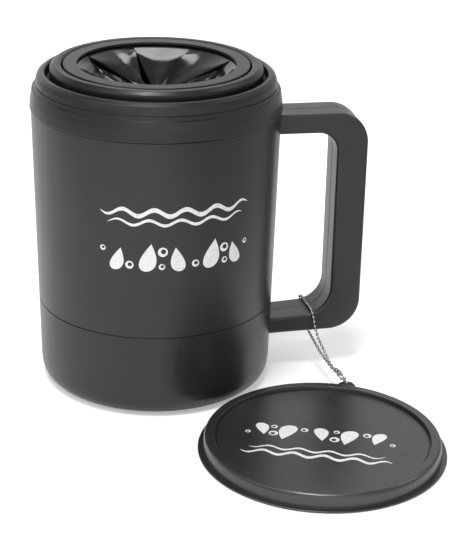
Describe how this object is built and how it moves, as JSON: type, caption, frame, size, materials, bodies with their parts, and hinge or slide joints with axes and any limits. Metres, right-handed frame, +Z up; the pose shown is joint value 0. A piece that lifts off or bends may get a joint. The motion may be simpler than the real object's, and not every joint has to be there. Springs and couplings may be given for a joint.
{
  "type": "paw washer cup",
  "caption": "Handled cup with a slitted rubber mouth and inner soft brushes for rinsing a pet's paws, with a rimmed lid on a ball chain.",
  "frame": {"origin": "centre of the base pad's underside, on the cup's axis", "axes": "+Z up along the cup's axis, +X towards the handle, the lid lies at +X -Y"},
  "size_m": [0.2429, 0.289, 0.2129],
  "materials": {
    "mug_plastic": "satin",
    "boot_plastic": "satin",
    "collar_plastic": "satin",
    "ring_plastic": "satin",
    "bezel_plastic": "satin",
    "handle_plastic": "satin",
    "lid_plastic": "satin",
    "pad_rubber": "matte",
    "seal_rubber": "matte",
    "petal_rubber": "gloss",
    "liner_plastic": "satin",
    "bristle": "satin",
    "chain_metal": "polished"
  },
  "bodies": {
    "mug": {"mug_body": "mug_plastic", "base_boot": "boot_plastic", "base_pad": "pad_rubber", "collar_ring": "collar_plastic", "floor_brush": "bristle", "handle_front": "handle_plastic", "handle_rear": "handle_plastic", "ball_chain": "chain_metal"},
    "brush_insert": {"brush_liner": "liner_plastic", "brush_panel_1": "bristle", "brush_panel_2": "bristle", "brush_panel_3": "bristle", "brush_panel_4": "bristle", "brush_panel_5": "bristle", "brush_panel_6": "bristle"},
    "splash_assembly": {"splash_ring": "ring_plastic", "ring_seal": "seal_rubber", "diaphragm_rim": "petal_rubber", "clamp_bezel": "bezel_plastic"},
    "petal_1": {"petal_1": "petal_rubber"},
    "petal_2": {"petal_2": "petal_rubber"},
    "petal_3": {"petal_3": "petal_rubber"},
    "petal_4": {"petal_4": "petal_rubber"},
    "petal_5": {"petal_5": "petal_rubber"},
    "petal_6": {"petal_6": "petal_rubber"},
    "petal_7": {"petal_7": "petal_rubber"},
    "petal_8": {"petal_8": "petal_rubber"},
    "lid": {"lid": "lid_plastic", "chain_clasp": "chain_metal"}
  },
  "joints": [
    {"name": "brush_insert_lift", "type": "slide", "parent": "mug", "child": "brush_insert", "axis": [0, 0, 1], "range_m": [0, 0.2]},
    {"name": "splash_ring_lift", "type": "slide", "parent": "brush_insert", "child": "splash_assembly", "axis": [0, 0, 1], "range_m": [0, 0.06]},
    {"name": "petal_1_flex", "type": "hinge", "parent": "splash_assembly", "child": "petal_1", "pos_m": [0.04217, 0.02686, 0.2076], "axis": [0.5373, -0.8434, 0], "range_deg": [0, 45], "stiffness_Nm_per_rad": 0.02, "springref_deg": -5.73},
    {"name": "petal_2_flex", "type": "hinge", "parent": "splash_assembly", "child": "petal_2", "pos_m": [0.01082, 0.04881, 0.2076], "axis": [0.9763, -0.2164, 0], "range_deg": [0, 45], "stiffness_Nm_per_rad": 0.02, "springref_deg": -5.73},
    {"name": "petal_3_flex", "type": "hinge", "parent": "splash_assembly", "child": "petal_3", "pos_m": [-0.02686, 0.04217, 0.2076], "axis": [0.8434, 0.5373, 0], "range_deg": [0, 45], "stiffness_Nm_per_rad": 0.02, "springref_deg": -5.73},
    {"name": "petal_4_flex", "type": "hinge", "parent": "splash_assembly", "child": "petal_4", "pos_m": [-0.04881, 0.01082, 0.2076], "axis": [0.2164, 0.9763, 0], "range_deg": [0, 45], "stiffness_Nm_per_rad": 0.02, "springref_deg": -5.73},
    {"name": "petal_5_flex", "type": "hinge", "parent": "splash_assembly", "child": "petal_5", "pos_m": [-0.04217, -0.02686, 0.2076], "axis": [-0.5373, 0.8434, 0], "range_deg": [0, 45], "stiffness_Nm_per_rad": 0.02, "springref_deg": -5.73},
    {"name": "petal_6_flex", "type": "hinge", "parent": "splash_assembly", "child": "petal_6", "pos_m": [-0.01082, -0.04881, 0.2076], "axis": [-0.9763, 0.2164, 0], "range_deg": [0, 45], "stiffness_Nm_per_rad": 0.02, "springref_deg": -5.73},
    {"name": "petal_7_flex", "type": "hinge", "parent": "splash_assembly", "child": "petal_7", "pos_m": [0.02686, -0.04217, 0.2076], "axis": [-0.8434, -0.5373, 0], "range_deg": [0, 45], "stiffness_Nm_per_rad": 0.02, "springref_deg": -5.73},
    {"name": "petal_8_flex", "type": "hinge", "parent": "splash_assembly", "child": "petal_8", "pos_m": [0.04881, -0.01082, 0.2076], "axis": [-0.2164, -0.9763, 0], "range_deg": [0, 45], "stiffness_Nm_per_rad": 0.02, "springref_deg": -5.73},
    {"name": "lid_lift", "type": "slide", "parent": "mug", "child": "lid", "axis": [0, 0, 1], "range_m": [0, 0.03], "deforming": ["ball_chain"]}
  ]
}
